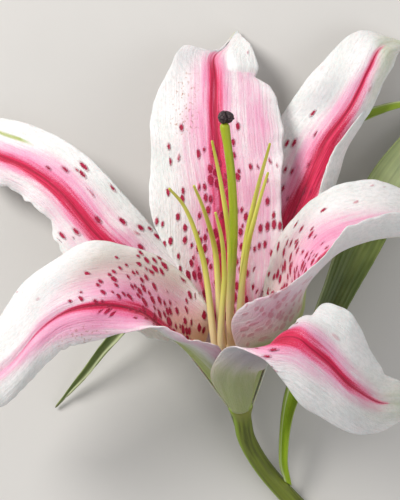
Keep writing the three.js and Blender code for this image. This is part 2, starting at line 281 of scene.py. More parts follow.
# ---------------- where the flower stands
def cad_sheet_low(name):
    """The lowest corner of a tepal made just as CAD makes it, in the flower's own mm."""
    rows = rows_of(**TEPALS[name])
    surface = surface_of(rows)
    u, v = grid(8, 2 * len(rows))
    step = 1e-3
    over = surface(np.minimum(u + step, 1), v) - surface(np.maximum(u - step, -1), v)
    up = surface(u, np.minimum(v + step, 1)) - surface(u, np.maximum(v - step, 0))
    normal = np.cross(over, up)
    normal /= np.linalg.norm(normal, axis=1, keepdims=True)
    rib, margin = CAD_THICKNESS
    half = normal * (grown(v) * (rib + (margin - rib) * u * u))[:, None] / 2
    middle = surface(u, v)
    return np.concatenate([middle + half, middle - half]).min(0)


# The flower stands where the CAD box of one tepal puts it.
ANCHOR = "inner_tepal_left"
offset = np.array(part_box(ANCHOR)[0]) - cad_sheet_low(ANCHOR) * MM


def placed(points):
    return np.asarray(points, float) * MM + offset


# ---------------- meshes
def add_object(node, points, faces, attributes, material, slot):
    """A smooth-shaded piece in place of a CAD node, from points in the flower's own mm."""
    name = f"{node}_surface"
    mesh = bpy.data.meshes.new(name)
    mesh.from_pydata(placed(points).tolist(), [], [face.tolist() for face in faces])
    for key, values in attributes.items():
        values = np.asarray(values, np.float32)
        kind = "FLOAT_VECTOR" if values.ndim == 2 else "FLOAT"
        attribute = mesh.attributes.new(key, kind, "POINT")
        attribute.data.foreach_set("vector" if values.ndim == 2 else "value", values.ravel())
    mesh.shade_smooth()
    mesh.materials.append(material)
    piece = bpy.data.objects.new(name, mesh)
    bpy.context.scene.collection.objects.link(piece)
    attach(piece, "root")
    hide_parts(node)


WAVES_IN_SUM = 4
OUTLINE_WAVES, BROAD_WAVES, FRILL_WAVES, FACE_WAVES = (4, 13), (14, 32), (3.5, 9), (14, 36)  # mm
GROOVE_HALF_WIDTH = 1.5
SHOULDER_OUT, SHOULDER_HALF_WIDTH, SHOULDER_SHARE = 3.2, 1.3, 0.35
EDGE_FROM = 0.94  # the margin is rounded from here, as a share of the way from the midrib
TIP_FROM = 0.985  # and the tip from here, as a share of the length


def on_floor(points):
    """The same places, with nothing below the floor."""
    points[:, 2] = np.maximum(points[:, 2], -offset[2] / MM)
    return points


def waves(along, rng, shortest, longest):
    """A smooth random wave of about unit height over the mm along an edge."""
    total = np.zeros_like(along)
    for _ in range(WAVES_IN_SUM):
        length = rng.uniform(shortest, longest)
        total += rng.uniform(0.5, 1) * np.sin(2 * math.pi * (along / length + rng.random()))
    return total / math.sqrt(WAVES_IN_SUM)


def knots(v, table, column):
    return np.interp(v, [row[0] for row in table], [row[column] for row in table])


def band(v, out, table):
    """A soft band up a blade. Rows: share of the length, mm off the midrib, half width, strength."""
    middle, half, strength = (knots(v, table, column) for column in (1, 2, 3))
    return strength * np.exp(-(((out - middle) / half) ** 2))


def bands(v, out, tables):
    total = np.zeros_like(v)
    for table in tables:
        total = np.maximum(total, band(v, out, table))
    return total


def by_side(u, pair):
    """The first of a pair left of the midrib and the second right of it."""
    return np.where(u < 0, pair[0], pair[1])


def folds_on(u, v, folds):
    """Flaps that rise sharply at one share of the length and die away towards another."""
    total = np.zeros_like(u)
    for start, end, inner, outer, height in folds:
        rise = smooth(start, start + 0.012, v) * (1 - smooth(start + 0.02, end, v))
        total += height * rise * smooth(inner, outer, u)
    return total


def rounded(share, start, least):
    """1 up to the start, then down to the root of the least in a quarter circle."""
    return np.sqrt(np.clip(1 - (np.maximum(share - start, 0) / (1 - start)) ** 2, least, 1))


def groove_on(v, out):
    """A groove 1 deep along the midrib, between two low shoulders, as heights."""
    depth = np.exp(-((out / GROOVE_HALF_WIDTH) ** 2)) * smooth(0, 0.1, v) * (1 - smooth(0.9, 1, v))
    shoulder = np.exp(-(((np.abs(out) - SHOULDER_OUT) / SHOULDER_HALF_WIDTH) ** 2))
    return SHOULDER_SHARE * shoulder - depth


def blade(name, rows, look, material, slot, thickness, groove, seed, steps=(80, 210)):
    """A thin blade with a grooved midrib, waved and frilled margins and a rounded edge."""
    rng = random.Random(seed)
    across, along = steps
    surface = surface_of(rows)
    u, v = grid(across, along)
    run, out = lengths_along(surface(u, v), across, along)
    edge = np.abs(u)
    half_width = np.abs(out) / np.maximum(edge, 0.05)
    frill = by_side(u, look["frill"]) * smooth(0.12, 0.3, v)
    wave = by_side(u, look["wave"]) * smooth(0.28, 0.55, v) * (1 - 0.6 * smooth(0.93, 1, v))

    def side_waves(shortest, longest):
        left = waves(run, rng, shortest, longest)
        return np.where(u < 0, left, waves(run, rng, shortest, longest))

    # The margin wanders in from its own line, never past it, with a few deeper nicks.
    nick = np.zeros_like(u)
    for side, at, depth, width in look.get("nicks", ()):
        nick += depth * np.exp(-(((v - at) / width) ** 2)) * (u * side > 0)
    inwards = 0.2 + frill * (0.9 + 0.6 * side_waves(*OUTLINE_WAVES)) + nick
    reach = 1 - edge**4 * np.maximum(inwards, 0) / np.maximum(half_width, 2.0)
    middle = surface(u * reach, v)
    normal = normals_of(middle, across, along)
    lift = edge**2.4 * wave * side_waves(*BROAD_WAVES)
    lift += edge**6 * frill * 0.6 * side_waves(*FRILL_WAVES)
    face_wave = waves(run + 0.7 * out, rng, *FACE_WAVES)
    lift += 0.15 * (1 - edge**2) * smooth(0.2, 0.5, v) * face_wave
    lift += groove * groove_on(v, out)
    fold = folds_on(u, v, look.get("folds", ()))
    middle = middle + normal * (lift + fold)[:, None]
    normal = normals_of(middle, across, along)
    rib, margin = thickness
    full = grown(v) * (rib + (margin - rib) * u * u)
    half = normal * (full * rounded(edge, EDGE_FROM, 0.06) * rounded(v, TIP_FROM, 0.1))[:, None] / 2
    points = on_floor(np.concatenate([middle + half, middle - half]))
    own = 97.0 * seed  # keeps each blade in its own part of the textures
    # The grid of the spots leans off the midrib on both sides, and is packed closer both ways.
    closer_across, closer_along = look.get("closeness", (1.0, 1.0))
    lean = math.radians(look.get("lean", 0.0)) * np.sign(u)
    spot_across = (out * np.cos(lean) - run * np.sin(lean)) * closer_across + own
    spot_along = (out * np.sin(lean) + run * np.cos(lean)) * closer_along + own
    pairs = {"blade": (out + own, run + own), "grid": (spot_across, spot_along), "share": (u, v)}
    attributes = {}
    for key, (first, second) in pairs.items():
        attributes[key] = np.tile(np.stack([first, second, np.zeros_like(u)], 1), (2, 1))
    for key in MASKS:
        face, back = (bands(v, out, look[side].get(key, [])) for side in ("face", "back"))
        if key == "flush":
            face = face * (1 - np.clip(fold, 0, 1))
        attributes[key] = np.concatenate([face, back])
    add_object(name, points, sheet_faces(across, along), attributes, material, slot)


# ---------------- rods
CAP_STEPS = np.array([0.92, 0.7, 0.4, 0.12])  # rings that close an end, as shares of its width
CAP_RISE = 0.8  # how far a round end bulges out, as a share of its radius
CUT_HOLLOW = 0.25  # how far a cut end dips in the middle


def smooth_curve(places, steps):
    """Evenly spaced places along a centripetal curve through the given ones."""
    p = np.array(places, float)
    p = np.vstack([2 * p[0] - p[1], p, 2 * p[-1] - p[-2]])
    gaps = np.sqrt(np.linalg.norm(np.diff(p, axis=0), axis=1))
    fine = []
    for i in range(1, len(p) - 2):
        g0, g1, g2 = gaps[i - 1 : i + 2]
        a, b, c, d = p[i - 1 : i + 3]
        start = ((b - a) / g0 - (c - a) / (g0 + g1) + (c - b) / g1) * g1
        end = ((c - b) / g1 - (d - b) / (g1 + g2) + (d - c) / g2) * g1
        t = np.linspace(0, 1, 60, endpoint=False)[:, None]
        fine.append(
            b + start * t + (3 * (c - b) - 2 * start - end) * t**2 + (2 * (b - c) + start + end) * t**3
        )
    fine = np.vstack(fine + [p[-2][None]])
    run = np.concatenate([[0], np.cumsum(np.linalg.norm(np.diff(fine, axis=0), axis=1))])
    even = np.linspace(0, run[-1], steps + 1)
    return np.stack([np.interp(even, run, fine[:, k]) for k in range(3)], 1), even


def frames_along(centres):
    """A tangent and two side directions at each place, carried along without twisting."""
    tangents = np.gradient(centres, axis=0)
    tangents /= np.linalg.norm(tangents, axis=1, keepdims=True)
    side = np.cross(tangents[0], [0.0, 0.0, 1.0])
    sides = []
    for tangent in tangents:
        side = side - tangent * np.dot(side, tangent)
        side /= np.linalg.norm(side)
        sides.append(side)
    sides = np.array(sides)
    return tangents, sides, np.cross(tangents, sides)


def cap_rings(edge, outwards, radius, cut):
    """Ever smaller rings over one end of a rod, which bulges out where it isn't cut."""
    middle = edge.mean(0)
    if cut:
        rises = -CUT_HOLLOW * (1 - CAP_STEPS)
    else:
        rises = np.sqrt(1 - CAP_STEPS**2) * radius * CAP_RISE
    caps = zip(CAP_STEPS, rises)
    return [middle + (edge - middle) * step + outwards * rise for step, rise in caps]


def tube_faces(rings, sides):
    """Faces of a tube of rings, each with as many places as sides, closed at both ends."""
    i = np.arange(sides)
    j = np.arange(rings - 1)[:, None] * sides
    after = (i + 1) % sides
    walls = np.stack([j + i, j + after, j + sides + after, j + sides + i], -1).reshape(-1, 4)
    return [*walls, i[::-1], i + (rings - 1) * sides]


def rod(name, places, radius, material, slot, sides, steps, lean=0.0, cut=False):
    """A closed rod along a curve. radius(share, turn) is in mm, and the far end may be cut."""
    centres, run = smooth_curve(places, steps)
    tangents, side, up = frames_along(centres)
    share = np.linspace(0, 1, steps + 1)
    turn = np.linspace(0, 2 * math.pi, sides, endpoint=False)
    grid_share, grid_turn = np.meshgrid(share, turn, indexing="ij")
    r = radius(grid_share, grid_turn)
    ring = np.cos(grid_turn)[..., None] * side[:, None] + np.sin(grid_turn)[..., None] * up[:, None]
    points = centres[:, None] + r[..., None] * ring
    tilt = np.cross(tangents[-1], [0.0, 0.0, 1.0])
    slant = lean * ((points[-1] - centres[-1]) @ unit(tilt))
    points[-1] += slant[:, None] * tangents[-1]
    foot = cap_rings(points[0], -tangents[0], r[0].mean(), False)[::-1]
    head = cap_rings(points[-1], tangents[-1], r[-1].mean(), cut)
    rings = [*foot, *points, *head]
    caps = len(CAP_STEPS)
    radial = np.concatenate([CAP_STEPS[::-1], np.ones(steps + 1), CAP_STEPS])
    around = np.tile(turn, len(rings))
    along, v = (np.repeat(np.pad(values, caps, mode="edge"), sides) for values in (run, share))
    own = np.full(around.shape, 7.0 * len(name))
    attributes = {
        "blade": np.stack([around * r.mean(), along, own], 1),
        "share": np.stack([np.cos(around), v, np.sin(around)], 1),
        "radial": np.repeat(radial, sides),
    }
    points = on_floor(np.concatenate(rings))
    add_object(name, points, tube_faces(len(rings), sides), attributes, material, slot)


# ---------------- materials
def colour(code):
    """A colour from its usual six-digit code, as the shader wants it."""
    parts = [int(code[i : i + 2], 16) / 255 for i in (1, 3, 5)]
    return tuple(c / 12.92 if c <= 0.04045 else ((c + 0.055) / 1.055) ** 2.4 for c in parts) + (1.0,)


class Shade:
    """One node material. Every method gives a socket that the next can take."""

    def __init__(self, name):
        self.material = bpy.data.materials.new(name)
        self.material.use_nodes = True
        self.tree = self.material.node_tree
        self.shader = self.tree.nodes["Principled BSDF"]

    def add(self, kind, inputs, output=0, **settings):
        node = self.tree.nodes.new(kind)
        for key, value in settings.items():
            setattr(node, key, value)
        for key, value in inputs.items():
            if isinstance(value, bpy.types.NodeSocket):
                self.tree.links.new(value, node.inputs[key])
            else:
                node.inputs[key].default_value = value
        return node.outputs[output]

    def math(self, operation, a, b=0.0):
        return self.add("ShaderNodeMath", {0: a, 1: b}, operation=operation)

    def times(self, a, b):
        return self.math("MULTIPLY", a, b)

    def plus(self, a, b):
        return self.math("ADD", a, b)

    def minus(self, a, b):
        return self.math("SUBTRACT", a, b)

    def step(self, low, high, value):
        """0 below low and 1 above high, smooth between them."""
        inputs = {"Value": value, "From Min": low, "From Max": high}
        return self.add("ShaderNodeMapRange", inputs, interpolation_type="SMOOTHSTEP")

    def swing(self, noise, height):
        """A noise about 0 instead of about 0.5."""
        return self.times(self.minus(noise, 0.5), height)

    def sum(self, first, *layers):
        """The first value plus each layer times its strength."""
        for layer, strength in layers:
            first = self.plus(first, self.times(layer, strength))
        return first

    def mix(self, share, a, b):
        inputs = {0: share, 6: a, 7: b}
        return self.add("ShaderNodeMix", inputs, 2, data_type="RGBA", clamp_factor=True)

    def tint(self, base, share, code, strength=1.0):
        """The base with a colour laid over it."""
        return self.mix(self.times(share, strength), base, colour(code))

    def share(self, axis):
        """0: u of a blade or cos(turn) of a rod. 1: the share of its length. 2: sin(turn)."""
        return self.add("ShaderNodeSeparateXYZ", {0: self.place("share")}, axis)

    def mask(self, name):
        return self.add("ShaderNodeAttribute", {}, "Fac", attribute_name=name)

    def place(self, name, scale=(1.0, 1.0, 1.0)):
        vector = self.add("ShaderNodeAttribute", {}, "Vector", attribute_name=name)
        return self.add("ShaderNodeVectorMath", {0: vector, 1: scale}, operation="MULTIPLY")

    def noise(self, scale, detail, name="blade"):
        inputs = {"Vector": self.place(name, scale), "Scale": 1.0, "Detail": detail}
        return self.add("ShaderNodeTexNoise", inputs, "Fac")

    def cells(self, scale, output, randomness=0.9, dimensions="2D", name="grid"):
        inputs = {"Vector": self.place(name, scale), "Scale": 1.0, "Randomness": randomness}
        return self.add("ShaderNodeTexVoronoi", inputs, output, voronoi_dimensions=dimensions)

    def bump(self, height, distance, strength=1.0):
        inputs = {"Height": height, "Distance": distance, "Strength": strength}
        return self.add("ShaderNodeBump", inputs)

    def finish(self, base, roughness, normal, **constants):
        self.tree.links.new(base, self.shader.inputs["Base Color"])
        self.tree.links.new(roughness, self.shader.inputs["Roughness"])
        self.tree.links.new(normal, self.shader.inputs["Normal"])
        for key, value in constants.items():
            self.shader.inputs[key.replace("_", " ")].default_value = value
        return self.material


# Masks read by the materials: the grey darkening one is painted shade, and base also carries painted shade
# and painted light on some blades.
MASKS = ("stripe", "flush", "base", "green", "painted_shade", "spots", "spot_size", "veil", "pollen")


def tepal_material(name):
    s = Shade(name)
    streak = s.noise((0.75, 0.045, 1.0), 4.0)
    hair = s.noise((2.4, 0.06, 1.0), 2.0)
    cloud = s.noise((0.10, 0.07, 1.0), 3.0)
    grain = s.noise((2.2, 2.2, 1.0), 3.0)
    speck = s.noise((4.5, 3.2, 1.0), 2.0)
    mottle = s.noise((1.0, 0.55, 1.0), 5.0)
    # White blade, flushed pink in streaks that feather out from the midrib.
    base = s.mix(s.step(0.35, 0.7, cloud), colour("#f5f1f0"), colour("#e7e8e5"))
    base = s.tint(base, s.step(0.42, 0.64, mottle), "#d3d4d2", 0.38)
    base = s.tint(base, s.step(0.55, 0.7, speck), "#ead9e0", 0.35)
    flush = s.mask("flush")
    uneven = s.plus(s.plus(s.swing(streak, 0.6), s.swing(cloud, 0.6)), s.swing(speck, 0.5))
    blush = s.plus(flush, s.times(uneven, s.times(s.step(0.0, 0.5, flush), 1.25)))
    base = s.tint(base, s.step(0.05, 0.75, blush), "#ecacc8")
    base = s.tint(base, s.step(0.6, 1.15, blush), "#e07ca6")
    hairline = s.times(s.step(0.52, 0.68, hair), s.step(0.05, 0.5, flush))
    base = s.tint(base, hairline, "#db729c", 0.25)
    # Cream and green grounds, and grey painted shade where shade falls; on two inner tepals the cream also
    # helps paint a shaded margin.
    base = s.tint(base, s.mask("base"), "#ecd3a6")
    green = s.plus(s.mask("green"), s.swing(streak, s.mask("green")))
    base = s.tint(base, s.step(0.1, 0.9, green), "#a3b04c")
    painted_shade = s.plus(s.mask("painted_shade"), s.swing(cloud, s.mask("painted_shade")))
    base = s.tint(base, painted_shade, "#94909a", 0.75)
    # The crimson midrib, with frayed edges and a darker line in its groove.
    stripe = s.mask("stripe")
    ragged = s.times(s.plus(s.minus(streak, 0.5), s.swing(speck, 0.7)), 1.4)
    fray = s.plus(stripe, s.times(ragged, s.step(0.02, 0.3, stripe)))
    crimson = s.mix(s.step(0.35, 0.65, hair), colour("#e0265a"), colour("#b8083a"))
    base = s.tint(base, s.step(0.06, 0.5, fray), "#ea5f90", 0.6)
    base = s.mix(s.step(0.4, 0.85, fray), base, crimson)
    near_rib = s.step(0.07, 0.0, s.math("ABSOLUTE", s.share(0)))
    base = s.tint(base, s.times(near_rib, s.step(0.4, 0.9, fray)), "#98042f", 0.75)
    # Crimson spots, each raised on a small papilla. The veil is how much paler they show.
    cell = (0.36, 0.15, 1.0)
    draw = s.cells(cell, "Color")
    chance, luck = (s.add("ShaderNodeSeparateColor", {"Color": draw}, i) for i in (0, 1))
    size = s.times(s.mask("spot_size"), s.plus(0.4, s.times(luck, 0.75)))
    there = s.step(-0.02, 0.02, s.minus(s.mask("spots"), chance))
    past = s.minus(s.plus(s.cells(cell, "Distance"), s.swing(grain, 0.3)), size)
    spot = s.times(there, s.step(0.04, -0.04, past))
    halo = s.times(there, s.step(0.17, -0.02, past))
    clear = s.minus(1.0, s.mask("veil"))
    base = s.tint(base, halo, "#e2688f", s.times(clear, 0.4))
    tone = s.mix(s.step(0.35, 0.65, grain), colour("#8a042c"), colour("#c00c48"))
    base = s.mix(s.times(spot, clear), base, tone)
    # Pollen that fell on it.
    dust = s.step(0.57, 0.66, s.noise((0.9, 0.9, 1.0), 5.0))
    base = s.tint(base, s.times(dust, s.mask("pollen")), "#a5602a", 0.85)
    height = s.sum(s.times(streak, 0.45), (hair, 0.3), (speck, 0.18), (grain, 0.2), (mottle, 0.3))
    height = s.plus(height, s.times(halo, s.times(clear, 0.8)))
    return s.finish(
        base,
        s.sum(0.34, (grain, 0.16), (streak, 0.14)),
        s.bump(height, 0.0008, 0.9),
        Subsurface_Weight=0.18,
        Subsurface_Radius=(1.0, 0.45, 0.4),
        Subsurface_Scale=0.0012,
        Specular_IOR_Level=0.32,
        Sheen_Weight=0.12,
        Sheen_Roughness=0.45,
    )


def leaf_material():
    s = Shade("leaf")
    vein = s.math("COSINE", s.times(s.share(0), 26.0))
    streak = s.noise((1.2, 0.05, 1.0), 4.0)
    cloud = s.noise((0.12, 0.06, 1.0), 3.0)
    grain = s.noise((3.0, 3.0, 1.0), 3.0)
    base = s.mix(s.step(0.35, 0.7, cloud), colour("#5b6a28"), colour("#84914a"))
    base = s.tint(base, s.step(0.3, 0.75, streak), "#485e1c", 0.5)
    base = s.tint(base, s.step(0.2, 1.0, vein), "#a3b46c", 0.13)
    base = s.tint(base, s.mask("green"), "#9cba18")
    # Painted shade: dark olive where shade falls on a leaf.
    base = s.tint(base, s.mask("painted_shade"), "#343f18")
    # Pale: the paler back and margins, and painted light on the bract's upper part and along one margin of
    # the left narrow leaf.
    base = s.tint(base, s.mask("base"), "#d5dcae")
    height = s.sum(s.times(vein, 0.17), (streak, 0.5), (grain, 0.2))
    return s.finish(
        base,
        s.sum(0.33, (grain, 0.18), (cloud, 0.12)),
        s.bump(height, 0.0003, 0.8),
        Specular_IOR_Level=0.42,
        Subsurface_Weight=0.06,
        Subsurface_Scale=0.001,
    )


def stalk_material(name, light, dark, pale, foot, add_more=None):
    """Round green parts: light and dark streaks, and a paler foot that fades between two shares."""
    s = Shade(name)
    streak = s.noise((0.8, 0.05, 1.0), 4.0)
    cloud = s.noise((0.10, 0.06, 1.0), 3.0)
    grain = s.noise((2.5, 2.5, 1.0), 3.0)
    base = s.mix(s.step(0.3, 0.7, streak), colour(light), colour(dark))
    base = s.tint(base, s.step(0.4, 0.7, cloud), light, 0.6)
    base = s.tint(base, s.step(foot[1], foot[0], s.share(1)), pale)
    base = s.tint(base, s.step(0.58, 0.72, grain), pale, 0.3)
    if add_more:
        base = add_more(s, base)
    return s.finish(
        base,
        s.sum(0.36, (grain, 0.2), (streak, 0.1)),
        s.bump(s.sum(s.times(streak, 0.6), (grain, 0.25)), 0.00025, 0.7),
        Specular_IOR_Level=0.4,
        Subsurface_Weight=0.08,
        Subsurface_Scale=0.001,
    )


def painted_lit_side_and_pith(s, base):
    """One side of the stem below the bloom is painted brighter green as painted light, where the light falls
    on it, and its cut shows pale pith.
    """
    painted_light_side = s.times(s.step(0.45, 0.95, s.share(0)), s.step(0.5, 0.2, s.share(1)))
    base = s.tint(base, painted_light_side, "#8fae24", 0.75)
    radial = s.mask("radial")
    pith = s.mix(s.step(0.3, 0.9, radial), colour("#dfe3b4"), colour("#a9be6a"))
    bundles = s.step(0.55, 0.7, s.noise((1.3, 1.3, 1.0), 2.0, "share"))
    pith = s.tint(pith, bundles, "#7d9440", 0.5)
    return s.mix(s.step(0.985, 0.94, radial), base, pith)


def stigma_material():
    s = Shade("stigma")
    grain = s.noise((1.6, 1.6, 1.6), 4.0)
    pebble = s.cells((2.1, 2.1, 2.1), "Distance", 1.0, "3D", "blade")
    base = s.mix(s.step(0.35, 0.65, grain), colour("#24161c"), colour("#4a3a3c"))
    base = s.tint(base, s.step(0.58, 0.72, grain), "#8f8176", 0.75)
    height = s.plus(s.times(grain, 0.5), s.times(pebble, -0.7))
    roughness = s.plus(0.38, s.times(grain, 0.3))
    return s.finish(base, roughness, s.bump(height, 0.00035, 0.9), Specular_IOR_Level=0.4)


# ---------------- the flower
def everywhere(*rows):
    """A band wider than any blade. Rows: share of the length, strength."""
    return [(share, 0, 90, strength) for share, strength in rows]


# Where the colours lie on each tepal. Rows: share of the length, mm off the midrib, half width in
# mm, strength. Pairs of waves and frills: left and right. Nicks: side (1 is right), share of the
# length, depth in mm, half width. Folds: two shares of the length, two of the width, height in mm.
PLAIN_BACK = dict(
    flush=[[(0, 0, 8, 0.25), (0.5, 0, 12, 0.35), (1, 0, 10, 0.2)]],
    green=[[(0, 0, 9, 0.9), (0.2, 0, 7, 0.7), (0.5, 0, 2.6, 0.5), (1, 0, 2, 0.6)]],
)
LOOKS = {}
LOOKS["inner_tepal_back"] = dict(
    wave=(1.5, 1.3),
    frill=(0.15, 0.45),
    closeness=(1.15, 1.5),
    nicks=[(1, 0.70, 2.0, 0.018), (1, 0.60, 0.7, 0.02)],
    folds=[(0.715, 0.92, 0.25, 0.5, 2.0)],
    face=dict(
        stripe=[
            [(0.12, 0, 3, 0), (0.2, 0, 3.6, 1), (0.42, 0, 3.6, 1), (0.58, 0, 3, 1),
             (0.72, 0, 2.6, 0.85), (0.83, 0, 2.2, 0.5), (0.92, 0, 2, 0.15), (1, 0, 1, 0)],
            [(0.12, -6, 2, 0), (0.16, -6, 2, 0.9), (0.28, -9, 1.6, 0.6), (0.34, -10, 1.5, 0)],
            [(0.12, 6, 2, 0), (0.16, 6, 2, 0.9), (0.28, 8, 1.6, 0.6), (0.34, 9, 1.5, 0)],
        ],
        flush=[
            [(0.07, 0, 8, 0), (0.13, 0, 6, 0.8), (0.24, 0, 12, 0.85), (0.4, 0, 13, 0.85),
             (0.7, 0, 9, 0.7), (0.88, 0, 5, 0.3), (1, 0, 4, 0)],
            [(0.3, 12, 10, 0.5), (0.55, 13, 9, 0.6), (0.75, 10, 7, 0.4), (0.9, 5, 5, 0)],
        ],
        spots=[[(0.09, 0, 4, 0), (0.15, 0, 5, 1), (0.22, 0, 12, 1), (0.3, 0, 18, 0.95),
                (0.42, 0, 17, 0.85), (0.5, 0, 15, 0.55), (0.57, 0, 14, 0.3), (0.62, 0, 14, 0)]],
        spot_size=[
            everywhere((0.1, 0.46), (0.26, 0.34), (0.45, 0.28), (0.6, 0.22)),
            [(0.1, 0, 8, 0.5), (0.36, 0, 9, 0.46), (0.5, 0, 9, 0.36), (0.62, 0, 8, 0.25)],
        ],
        base=[[(0, 0, 12, 0.8), (0.14, 0, 9, 0.3), (0.2, 0, 9, 0)]],
        pollen=[[(0.5, -10, 5, 0), (0.56, -11, 5, 0.9), (0.66, -10, 4, 0.9), (0.74, -9, 4, 0)]],
        # Painted shade near the upper left margin.
        painted_shade=[[(0.62, -14, 4, 0), (0.75, -11, 4, 0.4), (0.85, -6, 5, 0.25), (1, 0, 4, 0)]],
    ),
    back=PLAIN_BACK,
)
LOOKS["outer_tepal_back_right"] = dict(
    wave=(0.6, 0.2),
    frill=(0.1, 0.1),
    face=dict(
        stripe=[[(0.12, 0, 4, 0), (0.2, 0, 6, 1), (0.36, 1.2, 7.4, 1.25), (0.48, 1.4, 5.4, 1.2),
                 (0.6, 0.8, 3.2, 1.05), (0.75, 0, 1.3, 0.9), (0.88, 0, 0.8, 0.6), (0.93, 0, 1, 0)]],
        flush=[[(0.07, 0, 6, 0), (0.14, 0, 9, 0.6), (0.4, -1, 11, 0.9), (0.6, -1, 7, 0.75),
                (0.8, 0, 3, 0.6), (0.9, 0, 3, 0)]],
        spots=[[(0.3, -6, 8, 0), (0.4, -8, 8, 0.7), (0.62, -11, 7, 0.4), (0.68, -11, 5, 0)]],
        spot_size=[everywhere((0, 0.2), (1, 0.15))],
        green=[[(0.55, 8, 6, 0), (0.7, 7, 5, 0.3), (0.85, 5, 6, 0.4), (0.93, 0, 9, 0.4), (1, 0, 8, 0.5)]],
        # Painted shadow on the left margin.
        painted_shade=[[(0.6, -13, 5, 0), (0.68, -11, 5, 0.55), (0.78, -9, 5, 0.1), (0.8, -8, 5, 0)]],
    ),
    back=PLAIN_BACK,
)
LOOKS["outer_tepal_back_left"] = dict(
    wave=(1.6, 0.3),
    frill=(0.55, 0.1),
    nicks=[(-1, 0.60, 1.0, 0.02), (-1, 0.52, 1.2, 0.024), (-1, 0.46, 0.8, 0.02)],
    face=dict(
        stripe=[[(0.12, 0, 4, 0), (0.2, 0, 4, 0.8), (0.4, 0.6, 3.9, 1.1), (0.58, 0.2, 3.1, 1.1),
                 (0.78, -0.4, 1.8, 1), (0.95, -0.5, 1.4, 0.8), (1, 0, 1.5, 0.4)]],
        flush=[
            [(0.07, 0, 6, 0), (0.14, 0, 9, 0.6), (0.4, 2, 8, 0.85), (0.6, 2, 6, 0.85),
             (0.8, 0, 5, 0.7), (1, 0, 4, 0.3)],
            [(0.4, -8, 5, 0.3), (0.8, -6, 4, 0.3), (1, -4, 4, 0)],
        ],
        spots=[
            [(0.24, 9, 7, 0), (0.32, 10, 7, 0.7), (0.45, 9, 6, 0.5), (0.66, 8, 5, 0.3), (0.74, 8, 5, 0)],
            [(0.4, -8, 5, 0), (0.46, -8, 5, 0.5), (0.56, -8, 4, 0.3), (0.62, -8, 4, 0)],
        ],
        spot_size=[everywhere((0, 0.28), (0.4, 0.23), (0.7, 0.16))],
        green=[[(0.66, 8, 0.8, 0), (0.72, 8, 0.8, 0.9), (0.8, 7.5, 0.9, 0.7), (0.86, 6, 1, 0)]],
        base=[[(0.75, 6, 8, 0), (0.9, 4, 8, 0.1), (1, 0, 8, 0.2)]],
    ),
    back=PLAIN_BACK,
)
LOOKS["inner_tepal_left"] = dict(
    wave=(1.0, 0.5),
    frill=(0.5, 0.1),
    closeness=(1.6, 1.5),
    lean=38,
    face=dict(
        stripe=[[(0.12, 0, 2, 0), (0.2, 0, 2.6, 0.9), (0.4, 0, 2.8, 1.05), (0.54, 0, 1.9, 1),
                 (0.66, 0, 1.3, 0.7), (0.8, 0, 1, 0.35), (0.9, 0, 1, 0)]],
        flush=[
            [(0.07, 2, 6, 0), (0.13, 2, 6, 0.6), (0.25, 5, 12, 0.8), (0.45, 6, 11, 0.85),
             (0.6, 6, 9, 0.5), (0.72, 4, 7, 0.15), (0.8, 0, 5, 0)],
            [(0.08, 0, 5, 0), (0.2, 0, 5, 0.5), (0.45, -3, 8, 0.95), (0.62, -3, 7, 0.85),
             (0.8, -1, 4, 0.7), (0.92, 0, 3, 0.2), (1, 0, 3, 0)],
        ],
        spots=[
            [(0.09, 0, 4, 0), (0.14, 0, 5, 1), (0.2, 1, 9, 1), (0.28, 3, 20, 1), (0.42, 8, 13, 1),
             (0.55, 9, 9, 0.6), (0.64, 9, 8, 0)],
            [(0.12, -5, 4, 0), (0.2, -7, 5, 0.8), (0.32, -8, 5, 0.4), (0.4, -8, 4, 0)],
        ],
        spot_size=[everywhere((0.08, 0.38), (0.3, 0.38), (0.5, 0.3), (0.7, 0.2))],
        base=[
            [(0, 0, 16, 1), (0.16, 0, 16, 0.95), (0.27, -2, 14, 0.6), (0.38, -4, 10, 0)],
            # Beige band along the right margin, part of the painted shadow there.
            [(0.24, 14, 6, 0), (0.34, 16, 6, 0.4), (0.55, 15, 6, 0.4), (0.66, 12, 6, 0)],
        ],
        green=[[(0.86, 0, 7, 0), (0.95, -2, 7, 0.5), (1, 0, 9, 0.7)]],
        pollen=[[(0.46, -9, 4, 0), (0.54, -10, 4, 0.9), (0.68, -9, 4, 0)]],
        # Painted shadow along the right margin.
        painted_shade=[[(0.2, 14, 5, 0), (0.32, 16, 6, 0.4), (0.5, 16, 6, 0.5), (0.66, 13, 6, 0.4), (0.85, 6, 6, 0)]],
    ),
    back=dict(
        flush=[[(0, -14, 6, 0.4), (0.5, -15, 6, 0.45), (1, -8, 6, 0.3)]],
        green=[[(0, 0, 11, 1), (0.3, 0, 8, 0.9), (0.8, 0, 5, 0.7), (1, 0, 4, 0.8)]],
        # Painted shade on the outside.
        painted_shade=[[(0, -10, 12, 0.35), (0.4, -12, 10, 0.35), (1, 0, 20, 0.15)]],
    ),
)
